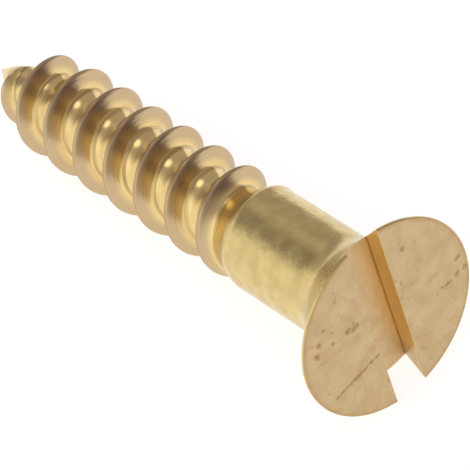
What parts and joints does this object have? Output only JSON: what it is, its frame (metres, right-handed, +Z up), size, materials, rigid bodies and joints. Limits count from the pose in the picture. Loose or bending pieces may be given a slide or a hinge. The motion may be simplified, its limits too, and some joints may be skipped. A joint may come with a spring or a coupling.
{
  "type": "wood screw",
  "caption": "Slotted countersunk wood screw in solid brass, with a plain shank, a coarse right-handed thread and a gimlet point.",
  "frame": {"origin": "centre of the flat face of the head, on the screw's axis", "axes": "+X along the screw's axis and out of the head's flat face, so that the point lies towards -X; the screwdriver slot runs along Z; +Z up, with the screw lying on its side"},
  "size_m": [0.0321, 0.0108, 0.0106],
  "materials": {
    "brass": "turned and cut brass, bright in the thread, satin on the shank and softly tumbled on the flat face of the head"
  },
  "bodies": {
    "root": {"wood_screw": "brass"}
  },
  "joints": []
}
